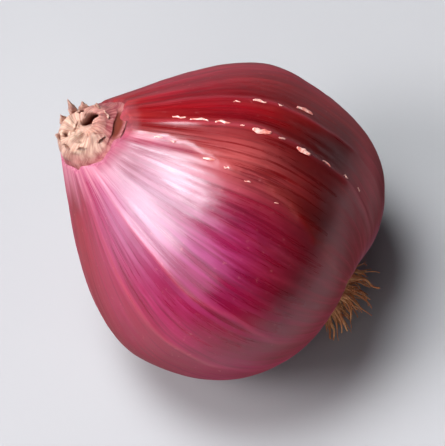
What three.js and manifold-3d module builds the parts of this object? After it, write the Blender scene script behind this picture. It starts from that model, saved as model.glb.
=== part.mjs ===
// A pink shallot: a bulb of two lobes grown together in one skin, its dried neck and its tuft of roots.
// Millimetres, +Z up. The bulb lies on its side with the neck towards -X and raised, the lobes lie side
// by side along Y, and the origin is the middle of the small flat spot that the bulb rests on.
import * as THREE from 'three';
import { mergeVertices } from 'three/addons/utils/BufferGeometryUtils.js';
import Module from 'manifold-3d';

const wasm = await Module();
wasm.setup();

const { degToRad, lerp, clamp, smoothstep, euclideanModulo } = THREE.MathUtils;

// How the bulb lies on its flat spot
const NECK_RAISE = degToRad(33);
const BULB_CENTRE = new THREE.Vector3(-0.3, 1.3, 14.8);

// The bulb is shaped upright, before it is laid down. There station (Z) runs along its axis to the neck,
// side (Y) runs to the second lobe, and lift (X) to the side that lies uppermost.
// rootFullness 2 makes the root end an ellipse and more makes it squarer. shoulder is the leanness of the
// shoulder as it runs out into the neck.
const MAIN_LOBE = {
  station: 0.35,
  side: -5,
  lift: 0.55,
  radius: 15.35,
  rootLength: 15.6,
  rootFullness: 2.1,
  neckStation: 20.8,
  neckRadius: 2.3,
  shoulder: 1.11,
};
const SECOND_LOBE = {
  station: 0.1,
  side: 4.2,
  lift: 0.25,
  radius: 12.95,
  rootLength: 16.9,
  rootFullness: 2.6,
  neckStation: 19.6,
  neckRadius: 1.8,
  shoulder: 0.73,
};
const NECK_SIDE = -1.85;
const NECK_LIFT = 0.4;

// The skin is stretched over the valley between the lobes, and follows it more closely at both ends
const VALLEY_BLEND = 5;
const END_BLEND = 1.5;
const VALLEY_FROM = [-14, -6];
const VALLEY_TO = [6, 16];

// Folds that run along the skin from neck to root: their places round the axis, and their height
const FOLD_ANGLES = [18, 60, 80, 155, 175, 204, 238, 282, 318, 345];
const FOLD_HEIGHT = 0.2;
const FOLD_HALF_ANGLE = 5;
const FOLD_STATIONS = [-13, -7, 13, 17];

// The outer skin is torn along a line on the upper side, and stands proud of the skin beneath it
const TEAR_ANGLE_AT_NECK = 93;
const TEAR_TURN_PER_MM = 1;
const TEAR_NECK_STATION = 17.5;
const TEAR_SOFTNESS = 4;
const OUTER_SKIN_END_ANGLE = -70;
const OUTER_SKIN = 0.25;

// The neck bends up as it dries: its foot, where the bulb's skin ends, and its torn tip
const NECK_FOOT = { lift: 0.7, side: -1.85, station: 18.6, tilt: degToRad(15) };
const NECK_TIP = { lift: 3, side: -2.5, station: 20.6, tilt: degToRad(40), radius: 3.15 };

// The bulb's facets
const SKIN_TOP = 20.8;
const RING_SIDES = 72;
const FRONT_RINGS = 20;
const REAR_RINGS = 18;
const REAR_END_ANGLE = degToRad(177);
const SEARCH_REACH = 30;
const SEARCH_STEPS = 32;

// The space between neighbouring pieces
const GAP = 0.3;

// The basal disc, in its shallow seat at the root end, and the dried roots that grow from it
const DISC_SIDE = -1.5;
const DISC_LIFT = -0.5;
const DISC_RADIUS = 2.9;
const DISC_SEAT_STATION = -15.2;
const DISC_THICKNESS = 1;
const DISC_DOME = 0.35;
const DISC_SIDES = 20;
const ROOT_COUNT = 26;
const ROOT_LENGTH = [2.4, 4];
const ROOT_RADIUS = 0.3;
const ROOT_TIP_SHARE = 0.45;
const ROOT_SPREAD = degToRad(42);
const ROOT_DROOP = 1.3;
const ROOT_CLEARANCE = 0.7;
const ROOT_CURL = 0.45;
const ROOT_DEPTH = 0.7;
const ROOT_STEPS = 5;
const ROOT_SIDES = 5;

// The dried neck: a core, and torn papery scales in rows round it, which stand out above its tip.
// Heights are shares of the neck's length, 0 at its foot and 1 at its tip.
const CORE_TOP = 0.82;
const CORE_INSET = 0.45;
const CORE_RINGS = 5;
const CORE_SIDES = 24;
const SCALE_THICKNESS = 0.65;
const SCALE_STEPS = 4;
const SCALE_TIP_SHARE = 0.35;
const SCALE_ROWS = [
  { count: 9, foot: 0.02, tips: [1.02, 1.25], inset: 0, flare: 0.2, width: 3.4 },
  { count: 6, foot: 0.5, tips: [1, 1.35], inset: 1.15, flare: 0.1, width: 2 },
  { count: 3, foot: 0.5, tips: [1, 1.15], inset: 2.2, flare: 0, width: 1.1 },
];

// Numbers in a fixed random order, from 0 to 1
function seededRandom(seed) {
  let state = seed;
  return () => {
    state = (state * 1664525 + 1013904223) % 4294967296;
    return state / 4294967296;
  };
}

// How far the shoulder has run out into the neck: 0 at the belly, 1 at the neck
function neckShare(lobe, station) {
  return clamp((station - lobe.station) / (lobe.neckStation - lobe.station), 0, 1);
}

// The distance of a point from one lobe's surface, roughly: below 0 inside it
function lobeDistance(lobe, lift, side, station) {
  const share = neckShare(lobe, station);
  const bend = smoothstep(share, 0, 1);
  const centreSide = lerp(lobe.side, NECK_SIDE, bend);
  const centreLift = lerp(lobe.lift, NECK_LIFT, bend);
  const fromAxis = Math.hypot(side - centreSide, lift - centreLift);
  if (station >= lobe.station) {
    const swell = (1 - share ** 2) ** lobe.shoulder;
    return fromAxis - lerp(lobe.neckRadius, lobe.radius, swell);
  }
  const power = lobe.rootFullness;
  const along = ((lobe.station - station) / lobe.rootLength) ** power;
  const across = (fromAxis / lobe.radius) ** power;
  return ((along + across) ** (1 / power) - 1) * lobe.radius;
}

// Two distances joined, with the valley between them filled over the given width
function smoothUnion(first, second, width) {
  const share = clamp(0.5 + (second - first) / (2 * width), 0, 1);
  return lerp(second, first, share) - width * share * (1 - share);
}

function bulbDistance(lift, side, station) {
  const valley = smoothstep(station, ...VALLEY_FROM) * (1 - smoothstep(station, ...VALLEY_TO));
  return smoothUnion(
    lobeDistance(MAIN_LOBE, lift, side, station),
    lobeDistance(SECOND_LOBE, lift, side, station),
    lerp(END_BLEND, VALLEY_BLEND, valley),
  );
}

// The bulb's centre line, which bends over to the neck
function centreLine(station) {
  const bend = smoothstep(neckShare(MAIN_LOBE, station), 0, 1);
  return new THREE.Vector3(NECK_LIFT * bend, NECK_SIDE * bend, station);
}

// The direction across the axis at an angle in degrees: 0 to the second lobe, 90 to the upper side
function across(angle) {
  return new THREE.Vector3(Math.sin(degToRad(angle)), Math.cos(degToRad(angle)), 0);
}

// How far the bulb's surface is from a point inside it, in a direction
function reach(from, direction) {
  let near = 0;
  let far = SEARCH_REACH;
  for (let step = 0; step < SEARCH_STEPS; step += 1) {
    const middle = (near + far) / 2;
    const point = from.clone().addScaledVector(direction, middle);
    if (bulbDistance(point.x, point.y, point.z) < 0) near = middle;
    else far = middle;
  }
  return near;
}

// The height of the skin's folds and of the torn outer skin at a place on the bulb
function skinRelief(angle, station) {
  const [rootEnd, rootFull, neckFull, neckEnd] = FOLD_STATIONS;
  const fade = smoothstep(station, rootEnd, rootFull) * (1 - smoothstep(station, neckFull, neckEnd));
  let height = 0;
  for (const fold of FOLD_ANGLES) {
    const away = Math.abs(euclideanModulo(angle - fold + 180, 360) - 180);
    height += FOLD_HEIGHT * (1 - smoothstep(away, 0, FOLD_HALF_ANGLE));
  }
  const tear = TEAR_ANGLE_AT_NECK + TEAR_TURN_PER_MM * (TEAR_NECK_STATION - station);
  const fromEnd = euclideanModulo(angle - OUTER_SKIN_END_ANGLE, 360);
  const span = tear - OUTER_SKIN_END_ANGLE;
  const covered = smoothstep(fromEnd, 0, 2 * TEAR_SOFTNESS) * (1 - smoothstep(fromEnd, span - TEAR_SOFTNESS, span));
  return fade * (height + OUTER_SKIN * covered);
}

// A closed solid through a row of rings that all have the same number of points
function loft(rings) {
  const count = rings[0].length;
  const last = rings.length - 1;
  const points = rings.flat();
  const ends = [rings[0], rings[last]].map((ring) =>
    ring.reduce((sum, point) => sum.add(point), new THREE.Vector3()).divideScalar(count));
  const [startCentre, endCentre] = [points.length, points.length + 1];
  points.push(...ends);
  const index = [];
  for (let j = 0; j < count; j += 1) {
    const next = (j + 1) % count;
    index.push(startCentre, next, j, endCentre, last * count + j, last * count + next);
    for (let i = 0; i < last; i += 1) {
      const here = i * count;
      const below = here + count;
      index.push(here + j, here + next, below + j, here + next, below + next, below + j);
    }
  }
  const geometry = new THREE.BufferGeometry().setFromPoints(points);
  geometry.setIndex(facesOutwards(points, index) ? index : index.reverse());
  return geometry;
}

function facesOutwards(points, index) {
  let volume = 0;
  for (let i = 0; i < index.length; i += 3) {
    const [a, b, c] = [points[index[i]], points[index[i + 1]], points[index[i + 2]]];
    volume += a.dot(b.clone().cross(c));
  }
  return volume > 0;
}

// A solid that can be joined and cut, from a closed geometry
function solidOf(geometry) {
  const bare = geometry.clone();
  bare.deleteAttribute('normal');
  bare.deleteAttribute('uv');
  const merged = mergeVertices(bare, 1e-5);
  const corners = merged.index.array;
  const triVerts = [];
  for (let i = 0; i < corners.length; i += 3) {
    const [a, b, c] = [corners[i], corners[i + 1], corners[i + 2]];
    if (a !== b && b !== c && c !== a) triVerts.push(a, b, c);
  }
  return new wasm.Manifold(new wasm.Mesh({
    numProp: 3,
    vertProperties: new Float32Array(merged.attributes.position.array),
    triVerts: new Uint32Array(triVerts),
  }));
}

function geometryOf(solid) {
  const mesh = solid.getMesh();
  const geometry = new THREE.BufferGeometry();
  geometry.setAttribute('position', new THREE.BufferAttribute(mesh.vertProperties, 3));
  geometry.setIndex(new THREE.BufferAttribute(mesh.triVerts, 1));
  geometry.computeVertexNormals();
  return geometry;
}

// The bulb's skin: flat sections across the axis from the neck to the belly, then rays from the belly's
// middle down to the root end
function bulbSkin() {
  const rings = [];
  const angles = Array.from({ length: RING_SIDES }, (_, side) => (side * 360) / RING_SIDES);
  for (let ring = 0; ring <= FRONT_RINGS; ring += 1) {
    const station = SKIN_TOP * (1 - ring / FRONT_RINGS);
    const centre = centreLine(station);
    rings.push(angles.map((angle) => {
      const out = across(angle);
      return centre.clone().addScaledVector(out, reach(centre, out) + skinRelief(angle, station));
    }));
  }
  for (let ring = 1; ring <= REAR_RINGS; ring += 1) {
    const tilt = lerp(Math.PI / 2, REAR_END_ANGLE, ring / REAR_RINGS);
    const centre = centreLine(0);
    rings.push(angles.map((angle) => {
      const ray = across(angle).multiplyScalar(Math.sin(tilt));
      ray.z = Math.cos(tilt);
      const distance = reach(centre, ray);
      return centre.clone().addScaledVector(ray, distance + skinRelief(angle, ray.z * distance));
    }));
  }
  return loft(rings);
}

// Turns what is shaped upright to lie on the flat spot
const LAY_DOWN = new THREE.Matrix4()
  .makeRotationY(NECK_RAISE - Math.PI / 2)
  .setPosition(BULB_CENTRE);

function bulbGeometry() {
  const size = 60;
  const seat = new THREE.CylinderGeometry(DISC_RADIUS + GAP, DISC_RADIUS + GAP, size, DISC_SIDES)
    .rotateX(Math.PI / 2)
    .translate(DISC_LIFT, DISC_SIDE, DISC_SEAT_STATION - size / 2)
    .applyMatrix4(LAY_DOWN);
  const aboveNeck = new THREE.BoxGeometry(size, size, size)
    .translate(0, 0, size / 2 - GAP)
    .rotateY(NECK_FOOT.tilt)
    .translate(NECK_FOOT.lift, NECK_FOOT.side, NECK_FOOT.station)
    .applyMatrix4(LAY_DOWN);
  const ground = new THREE.BoxGeometry(size, size, size).translate(0, 0, -size / 2);
  return geometryOf([seat, aboveNeck, ground].reduce(
    (bulb, cutter) => bulb.subtract(solidOf(cutter)),
    solidOf(bulbSkin().applyMatrix4(LAY_DOWN)),
  ));
}

// The lift at which something at a station would come too close to the ground
function lowestLift(station) {
  return (ROOT_CLEARANCE - BULB_CENTRE.z - station * Math.sin(NECK_RAISE)) / Math.cos(NECK_RAISE);
}

// One root: a thin tapering tube that droops and curls as it leaves the disc, and bends along the ground
function root(random) {
  const turn = random() * 2 * Math.PI;
  const place = Math.sqrt(random());
  const spread = ROOT_SPREAD * place * (0.6 + 0.4 * random());
  const foot = new THREE.Vector3(
    DISC_LIFT + 0.82 * DISC_RADIUS * place * Math.cos(turn),
    DISC_SIDE + 0.82 * DISC_RADIUS * place * Math.sin(turn),
    DISC_SEAT_STATION - GAP - DISC_THICKNESS + ROOT_DEPTH,
  );
  const outward = new THREE.Vector3(Math.cos(turn), Math.sin(turn), 0);
  const heading = outward.clone().multiplyScalar(Math.sin(spread));
  heading.z = -Math.cos(spread);
  const sideways = new THREE.Vector3(-Math.sin(turn), Math.cos(turn), 0);
  const length = ROOT_DEPTH + lerp(...ROOT_LENGTH, random());
  const curl = ROOT_CURL * (random() < 0.5 ? -1 : 1);
  const phase = random() * Math.PI;
  const rings = [];
  for (let step = 0; step <= ROOT_STEPS; step += 1) {
    const share = step / ROOT_STEPS;
    const centre = foot.clone()
      .addScaledVector(heading, length * share)
      .addScaledVector(sideways, curl * share * Math.sin(phase + 5 * share));
    centre.x = Math.max(centre.x - ROOT_DROOP * share ** 2, lowestLift(centre.z));
    const radius = ROOT_RADIUS * lerp(1, ROOT_TIP_SHARE, share);
    rings.push(Array.from({ length: ROOT_SIDES }, (_, side) => {
      const around = (side * 2 * Math.PI) / ROOT_SIDES;
      return centre.clone()
        .addScaledVector(sideways, radius * Math.cos(around))
        .addScaledVector(sideways.clone().cross(heading), radius * Math.sin(around));
    }));
  }
  return loft(rings);
}

// The basal disc, domed a little, with its roots grown into it
function rootTuftGeometry() {
  const profile = [
    [0, -DISC_THICKNESS - DISC_DOME],
    [0.6 * DISC_RADIUS, -DISC_THICKNESS - 0.6 * DISC_DOME],
    [DISC_RADIUS, 0.3 - DISC_THICKNESS],
    [DISC_RADIUS, 0],
    [0, 0],
  ];
  const disc = new THREE.LatheGeometry(profile.map(([x, y]) => new THREE.Vector2(x, y)), DISC_SIDES)
    .rotateX(Math.PI / 2)
    .translate(DISC_LIFT, DISC_SIDE, DISC_SEAT_STATION - GAP);
  const random = seededRandom(7);
  let tuft = solidOf(disc);
  for (let count = 0; count < ROOT_COUNT; count += 1) tuft = tuft.add(solidOf(root(random)));
  return geometryOf(tuft);
}

// The direction across the neck at an angle, where the neck is tilted up from the bulb's axis
function acrossNeck(angle, tilt) {
  return across(angle).applyAxisAngle(new THREE.Vector3(0, 1, 0), tilt);
}

// A place on the neck's skin, or under it by the inset: its foot meets the bulb's skin
function neckPoint(angle, share, inset) {
  const along = Math.min(share, 1);
  const foot = new THREE.Vector3(NECK_FOOT.lift, NECK_FOOT.side, NECK_FOOT.station);
  const tip = new THREE.Vector3(NECK_TIP.lift, NECK_TIP.side, NECK_TIP.station);
  const onward = new THREE.Vector3(Math.sin(NECK_TIP.tilt), 0, Math.cos(NECK_TIP.tilt))
    .multiplyScalar((share - along) * foot.distanceTo(tip));
  const footRadius = reach(foot, acrossNeck(angle, NECK_FOOT.tilt));
  const radius = lerp(footRadius, NECK_TIP.radius, smoothstep(along, -0.4, 1)) - inset;
  const out = acrossNeck(angle, lerp(NECK_FOOT.tilt, NECK_TIP.tilt, along));
  return foot.lerp(tip, along).add(onward).addScaledVector(out, radius);
}

// The neck's core, a little inside the line of the skin
function neckCore() {
  const rings = [];
  for (let ring = 0; ring <= CORE_RINGS; ring += 1) {
    const share = (CORE_TOP * ring) / CORE_RINGS;
    rings.push(Array.from({ length: CORE_SIDES }, (_, side) =>
      neckPoint((side * 360) / CORE_SIDES, share, CORE_INSET)));
  }
  return loft(rings);
}

// One papery scale: a bent blade that follows the neck and narrows to a torn tip
function neckScale(angle, tip, row) {
  const rings = [];
  for (let step = 0; step <= SCALE_STEPS; step += 1) {
    const share = step / SCALE_STEPS;
    const height = lerp(row.foot, tip, share);
    const inset = row.inset - row.flare * share ** 2;
    const half = 0.5 * row.width * lerp(1, SCALE_TIP_SHARE, share ** 2);
    const turn = THREE.MathUtils.radToDeg(half / (NECK_TIP.radius - row.inset));
    const corner = (sign, depth) => neckPoint(angle + sign * turn, height, inset + depth);
    rings.push([corner(-1, 0), corner(1, 0), corner(1, SCALE_THICKNESS), corner(-1, SCALE_THICKNESS)]);
  }
  return loft(rings);
}

function driedNeckGeometry() {
  const random = seededRandom(11);
  let neck = solidOf(neckCore());
  for (const row of SCALE_ROWS) {
    for (let count = 0; count < row.count; count += 1) {
      const angle = (360 * (count + 0.5 * random())) / row.count;
      neck = neck.add(solidOf(neckScale(angle, lerp(...row.tips, random()), row)));
    }
  }
  return geometryOf(neck);
}

function namedMesh(name, geometry, colour, roughness) {
  const material = new THREE.MeshStandardMaterial({ color: colour, roughness, metalness: 0 });
  const mesh = new THREE.Mesh(geometry, material);
  mesh.name = name;
  return mesh;
}

const shallot = new THREE.Group();
shallot.add(namedMesh('bulb', bulbGeometry(), 0xa8305a, 0.3));

// The neck and the roots are shaped upright, in a group that is laid down with the bulb
const upright = new THREE.Group();
upright.rotation.y = NECK_RAISE - Math.PI / 2;
upright.position.copy(BULB_CENTRE);
upright.add(namedMesh('dried_neck', driedNeckGeometry(), 0xd9bd9b, 0.8));
upright.add(namedMesh('root_tuft', rootTuftGeometry(), 0x9a7448, 0.9));
shallot.add(upright);

export default shallot;
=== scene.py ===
"""A pink shallot lying on its side: two lobes in one thin skin, a dried neck and a tuft of roots.

The bulb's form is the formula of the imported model, drawn finely, with veins, folds, flecks, torn outer skin,
a crumpled neck and curly roots added. Shapes are worked out in millimetres, with the bulb upright: lift (x)
runs to its upper side, side (y) to the second lobe and station (z) along its axis to the neck. Angles round
the axis are in degrees, from the second lobe and up over the upper side.
"""
import math

import bpy
import numpy as np
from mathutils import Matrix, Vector


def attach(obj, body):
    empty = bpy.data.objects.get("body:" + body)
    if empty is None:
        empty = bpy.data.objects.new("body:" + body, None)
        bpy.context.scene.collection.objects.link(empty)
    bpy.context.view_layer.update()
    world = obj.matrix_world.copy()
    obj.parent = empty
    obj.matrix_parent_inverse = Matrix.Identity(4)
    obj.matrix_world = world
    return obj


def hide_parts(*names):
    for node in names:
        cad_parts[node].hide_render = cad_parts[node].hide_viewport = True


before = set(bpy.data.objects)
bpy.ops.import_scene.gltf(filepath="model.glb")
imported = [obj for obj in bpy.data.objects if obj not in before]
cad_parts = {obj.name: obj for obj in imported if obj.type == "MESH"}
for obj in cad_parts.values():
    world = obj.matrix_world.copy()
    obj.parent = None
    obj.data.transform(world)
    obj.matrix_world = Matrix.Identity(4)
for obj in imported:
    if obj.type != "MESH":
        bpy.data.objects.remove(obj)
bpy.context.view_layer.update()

MM = 0.001

# How the bulb lies on its flat spot
NECK_RAISE = math.radians(33)
BULB_CENTRE = np.array([-0.3, 1.3, 14.8])

# The two lobes. A root fullness over 2 makes a squarer root end, and a greater shoulder is a leaner one
MAIN_LOBE = dict(station=0.35, side=-5.0, lift=0.55, radius=15.35, root_length=15.6, root_fullness=2.1,
                 neck_station=20.8, neck_radius=2.3, shoulder=1.11)
SECOND_LOBE = dict(station=0.1, side=4.2, lift=0.25, radius=12.95, root_length=16.9, root_fullness=2.6,
                   neck_station=19.6, neck_radius=1.8, shoulder=0.73)
NECK_SIDE = -1.85
NECK_LIFT = 0.4

# The skin is stretched over the valley between the lobes, less so at both ends
VALLEY_BLEND = 5.0
END_BLEND = 1.5
VALLEY_FROM = (-14, -6)
VALLEY_TO = (6, 16)
SEARCH_REACH = 30.0
SEARCH_STEPS = 28

# The neck's foot, where the skin ends, and its torn tip
NECK_FOOT = dict(place=(0.7, -1.85, 18.6), tilt=math.radians(15))
NECK_TIP = dict(place=(3.0, -2.5, 20.6), tilt=math.radians(40), radius=3.15)
NECK_LENGTH = 3.12

# The basal disc
DISC_PLACE = (-0.5, -1.5, -15.5)
DISC_RADIUS = 2.9
DISC_THICKNESS = 1.0

# The camera stands as in the photograph. Its distance and width are in metres, and the shift of its target
# from the bulb's centre in millimetres
VIEW_AZIMUTH = math.radians(17)
VIEW_ELEVATION = math.radians(60)
VIEW_DISTANCE = 0.6
VIEW_WIDTH = 0.050
VIEW_RIGHT = -0.31
VIEW_UP = -1.9
VIEW_CLIP = (0.01, 20)
SENSOR_WIDTH = 36

# Lights: direction in the camera's right, up and back, distance and size in metres, spread in degrees and
# power in watts
LIGHTS = dict(
    window=dict(toward=(-0.33, 0.58, 0.74), distance=0.48, size=(0.31, 0.28), spread=46, power=0.345,
                colour=(0.94, 0.98, 1.0)),
    softbox=dict(toward=(-0.74, 0.10, 0.67), distance=0.48, size=(0.27, 0.27), spread=46, power=0.22,
                 colour=(1.0, 0.98, 1.0)),
    low_fill=dict(toward=(-0.42, -0.30, 0.85), distance=0.75, size=(0.75, 0.63), spread=180, power=2.0,
                  colour=(1.0, 0.97, 1.0)),
)
SKY_COLOUR = (0.9, 0.92, 1.0, 1)
SKY_STRENGTH = 0.05
FLOOR_HALF = 2.0


# Numbers, noise and places

# Cells round, cells along and seed
LATTICE_NOISES = dict(
    torn_end=(26, 1, 21), wander=(12, 9, 51), veins=(120, 10, 52), fine_veins=(230, 16, 53),
    swell=(7, 6, 54), dimples=(60, 34, 55), pleats=(44, 5, 56), pucker=(40, 4, 57), tone=(9, 5, 61),
    paleness=(60, 5, 62), knob_twist=(9, 5, 70), knob_pleats=(17, 2, 71), knob_fine_pleats=(41, 3, 72),
    knob_lumps=(11, 11, 73), knob_crumple=(30, 30, 74), knob_dents=(14, 5, 75),
    disc_outline=(26, 5, 81), disc_bumps=(22, 6, 82), shred_waves=(60, 3, 721),
)
# Cells along a line, and seed
LINE_NOISES = dict(
    tear_broad=(12, 31), tear_fine=(40, 32), tear_finest=(95, 33), end_broad=(20, 36),
    end_fine=(70, 37), lip=(30, 41), tear_edge=(26, 42), fold_course=(5, 100), fold_shiver=(17, 200),
    fold_strength=(9, 300), fold_dots=(24, 400), shred_tip=(6, 701), fleck_side=(7, 800),
    fleck_bend=(3, 830), fleck_rise=(5, 860),
)


def smoothstep(value, low, high):
    share = np.clip((value - low) / (high - low), 0.0, 1.0)
    return share * share * (3 - 2 * share)


def mix(low, high, share):
    return low + (high - low) * share


def near(value, middle, reach_away):
    """1 at the middle, falling softly to 0 away from it."""
    return np.exp(-((value - middle) / reach_away) ** 2)


def lattice_noise(turn, along, name, seed_step=0):
    """Smooth noise from -1 to 1 that closes round the bulb. turn and along run from 0 to 1."""
    cells_around, cells_along, seed = LATTICE_NOISES[name]
    values = np.random.default_rng(seed + seed_step).uniform(-1, 1, (cells_along + 2, cells_around))
    x = (turn % 1.0) * cells_around
    y = np.clip(along, 0, 1) * cells_along
    column, row = np.floor(x).astype(int), np.floor(y).astype(int)
    blend_x, blend_y = smoothstep(x - column, 0, 1), smoothstep(y - row, 0, 1)
    left, right = column % cells_around, (column + 1) % cells_around
    lower = mix(values[row, left], values[row, right], blend_x)
    upper = mix(values[row + 1, left], values[row + 1, right], blend_x)
    return mix(lower, upper, blend_y)


def line_noise(along, name, seed_step=0):
    """Smooth noise from -1 to 1 along a line. along runs from 0 to 1."""
    cells, seed = LINE_NOISES[name]
    values = np.random.default_rng(seed + seed_step).uniform(-1, 1, cells + 2)
    y = np.clip(along, 0, 1) * cells
    cell = np.floor(y).astype(int)
    return mix(values[cell], values[cell + 1], smoothstep(y - cell, 0, 1))


def degrees_apart(first, second):
    return (first - second + 180) % 360 - 180


def lay_down(points):
    """Upright points, in millimetres, laid down with the bulb and turned to metres."""
    lift, side, station = points[..., 0], points[..., 1], points[..., 2]
    sine, cosine = math.sin(NECK_RAISE), math.cos(NECK_RAISE)
    laid = np.stack([sine * lift - cosine * station, side, cosine * lift + sine * station], axis=-1)
    return (laid + BULB_CENTRE) * MM


# Meshes

def closed_tube(rows):
    """Points and faces of a tube whose two ends are closed by a middle point."""
    count, columns = rows.shape[:2]
    points = np.concatenate([rows.reshape(-1, 3), rows[:1].mean(axis=1), rows[-1:].mean(axis=1)])
    row, column = np.meshgrid(np.arange(count - 1), np.arange(columns), indexing="ij")
    here, beside = row * columns + column, row * columns + (column + 1) % columns
    quads = np.stack([here, beside, beside + columns, here + columns], axis=-1)
    faces = quads.reshape(-1, 4).tolist()
    first, last = count * columns, count * columns + 1
    base = (count - 1) * columns
    faces += [[first, (j + 1) % columns, j] for j in range(columns)]
    faces += [[last, base + j, base + (j + 1) % columns] for j in range(columns)]
    return points, faces


def end_values(values):
    """A closed tube's values: its grid's, followed by those of its two closing points."""
    width = values.shape[2:] or ()
    ends = [values[:1].mean(axis=1), values[-1:].mean(axis=1)]
    return np.concatenate([values.reshape(-1, *width), *ends])


def sheet_faces(rows, columns, offset, flip):
    row, column = np.meshgrid(np.arange(rows - 1), np.arange(columns - 1), indexing="ij")
    here = offset + row * columns + column
    quads = np.stack([here, here + 1, here + columns + 1, here + columns], axis=-1).reshape(-1, 4)
    return (quads[:, ::-1] if flip else quads).tolist()


def rim_faces(rows, columns, offset):
    """Quads that join a thin sheet's outer and inner sides along its four edges."""
    size = rows * columns
    around = [(0, j) for j in range(columns)] + [(i, columns - 1) for i in range(1, rows)]
    around += [(rows - 1, j) for j in range(columns - 2, -1, -1)] + [(i, 0) for i in range(rows - 2, 0, -1)]
    ring = [offset + i * columns + j for i, j in around]
    return [[ring[k], ring[k - 1], ring[k - 1] + size, ring[k] + size] for k in range(len(ring))]


def thin_sheet_faces(rows, columns, offset):
    """Faces of a thin sheet whose outer side's points are followed by its inner side's."""
    faces = sheet_faces(rows, columns, offset, False)
    faces += sheet_faces(rows, columns, offset + rows * columns, True)
    return faces + rim_faces(rows, columns, offset)


def flipped(faces):
    return [list(reversed(face)) for face in faces]


def make_object(name, points, faces, material, node):
    mesh = bpy.data.meshes.new(name)
    mesh.from_pydata(points.reshape(-1, 3).tolist(), [], faces)
    mesh.validate()
    mesh.shade_smooth()
    mesh.materials.append(material)
    piece = bpy.data.objects.new(name, mesh)
    bpy.context.collection.objects.link(piece)
    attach(piece, "root")
    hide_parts(node)
    return piece


def store(piece, name, values):
    """Keeps a value or a vector for each point of a piece, for its material."""
    is_vector = values.ndim > 1
    layer = piece.data.attributes.new(name, "FLOAT_VECTOR" if is_vector else "FLOAT", "POINT")
    flat = np.ascontiguousarray(values, dtype=np.float32).ravel()
    layer.data.foreach_set("vector" if is_vector else "value", flat)


# Material helpers

MIX_SHARE, MIX_FIRST, MIX_SECOND, MIX_RESULT = 0, 6, 7, 2
BUMP_DISTANCE = 0.0001


def as_colour(value):
    """A colour's 0 to 255 values as the shader wants them. A socket stays as it is."""
    if isinstance(value, bpy.types.NodeSocket):
        return value
    shares = [part / 255 for part in value]
    return (*[c / 12.92 if c <= 0.04045 else ((c + 0.055) / 1.055) ** 2.4 for c in shares], 1.0)


def set_inputs(tree, node, inputs):
    """Links the inputs that are given as sockets, and sets the others."""
    for name, value in inputs.items():
        if isinstance(value, bpy.types.NodeSocket):
            tree.links.new(value, node.inputs[name])
        else:
            node.inputs[name].default_value = value


def add_node(tree, kind, inputs, **settings):
    node = tree.nodes.new(kind)
    for name, value in settings.items():
        setattr(node, name, value)
    set_inputs(tree, node, inputs)
    return node


def mixed(tree, share, first, second):
    sockets = {MIX_SHARE: share, MIX_FIRST: as_colour(first), MIX_SECOND: as_colour(second)}
    return add_node(tree, "ShaderNodeMix", sockets, data_type="RGBA").outputs[MIX_RESULT]


def calculated(tree, operation, first, second):
    return add_node(tree, "ShaderNodeMath", {0: first, 1: second}, operation=operation).outputs[0]


def stored(tree, name, output="Fac"):
    return add_node(tree, "ShaderNodeAttribute", {}, attribute_name=name).outputs[output]


def layered(tree, colour, **layers):
    """A colour with others over it, each by the share that is stored under its name."""
    for name, over in layers.items():
        colour = mixed(tree, stored(tree, name), colour, over)
    return colour


def ranged(tree, value, low, high, to_low=0.0, to_high=1.0):
    sockets = {"Value": value, "From Min": low, "From Max": high, "To Min": to_low, "To Max": to_high}
    return add_node(tree, "ShaderNodeMapRange", sockets, interpolation_type="SMOOTHSTEP").outputs[0]


def noise(tree, vector, scale, detail, rough):
    sockets = {"Vector": vector, "Scale": scale, "Detail": detail, "Roughness": rough}
    return add_node(tree, "ShaderNodeTexNoise", sockets).outputs[0]


def streaked(tree, streaks, limits, dark, light, most=1.0):
    """Dark to light, or part of the way, as a noise goes between two limits."""
    return mixed(tree, ranged(tree, streaks, *limits, 0, most), dark, light)


def object_place(tree):
    return add_node(tree, "ShaderNodeTexCoord", {}).outputs["Object"]


def bumped(tree, height, strength):
    sockets = {"Height": height, "Distance": BUMP_DISTANCE, "Strength": strength}
    return add_node(tree, "ShaderNodeBump", sockets).outputs[0]


def new_material(name):
    material = bpy.data.materials.new(name)
    material.use_nodes = True
    tree = material.node_tree
    return material, tree, tree.nodes["Principled BSDF"]


# Materials

def skin_noises(tree):
    """Streaks and veins that run along the skin, and blotches and specks all over it."""
    grain = stored(tree, "grain", "Vector")
    stretched = add_node(tree, "ShaderNodeVectorMath", {0: grain, 1: (1, 1, 0.4)}, operation="MULTIPLY")
    long_grain = stretched.outputs[0]
    place = object_place(tree)
    return dict(
        broad=noise(tree, grain, 0.42, 4.0, 0.6),
        fine=noise(tree, long_grain, 2.4, 5.0, 0.62),
        veins=noise(tree, long_grain, 3.4, 1.0, 0.5),
        blotches=noise(tree, place, 190, 3.0, 0.5),
        specks=noise(tree, place, 1500, 3.0, 0.6),
    )


def flesh_colour(tree, broad, fine):
    """The inner skin: magenta with maroon parts, a crimson painted shade on the left limb, and violet, pale
    mauve and lilac painted sheen where the highlight falls and spreads.
    """
    magenta = streaked(tree, broad, (0.36, 0.66), (134, 0, 42), (156, 2, 68))
    magenta = streaked(tree, fine, (0.42, 0.7), magenta, (172, 20, 92), 0.5)
    maroon = streaked(tree, broad, (0.36, 0.66), (104, 2, 20), (136, 14, 36))
    maroon = streaked(tree, fine, (0.42, 0.72), maroon, (156, 42, 58), 0.4)
    # Painted sheen: violet, pale mauve and lilac where the highlight falls and spreads
    violet = streaked(tree, fine, (0.4, 0.66), (120, 8, 74), (150, 42, 114))
    mauve = streaked(tree, fine, (0.38, 0.66), (118, 60, 88), (142, 98, 120))
    return layered(tree, magenta, ripeness=maroon, crimson=(116, 0, 20), violet=violet, mauve=mauve,
                   lilac=(166, 102, 130))


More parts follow.
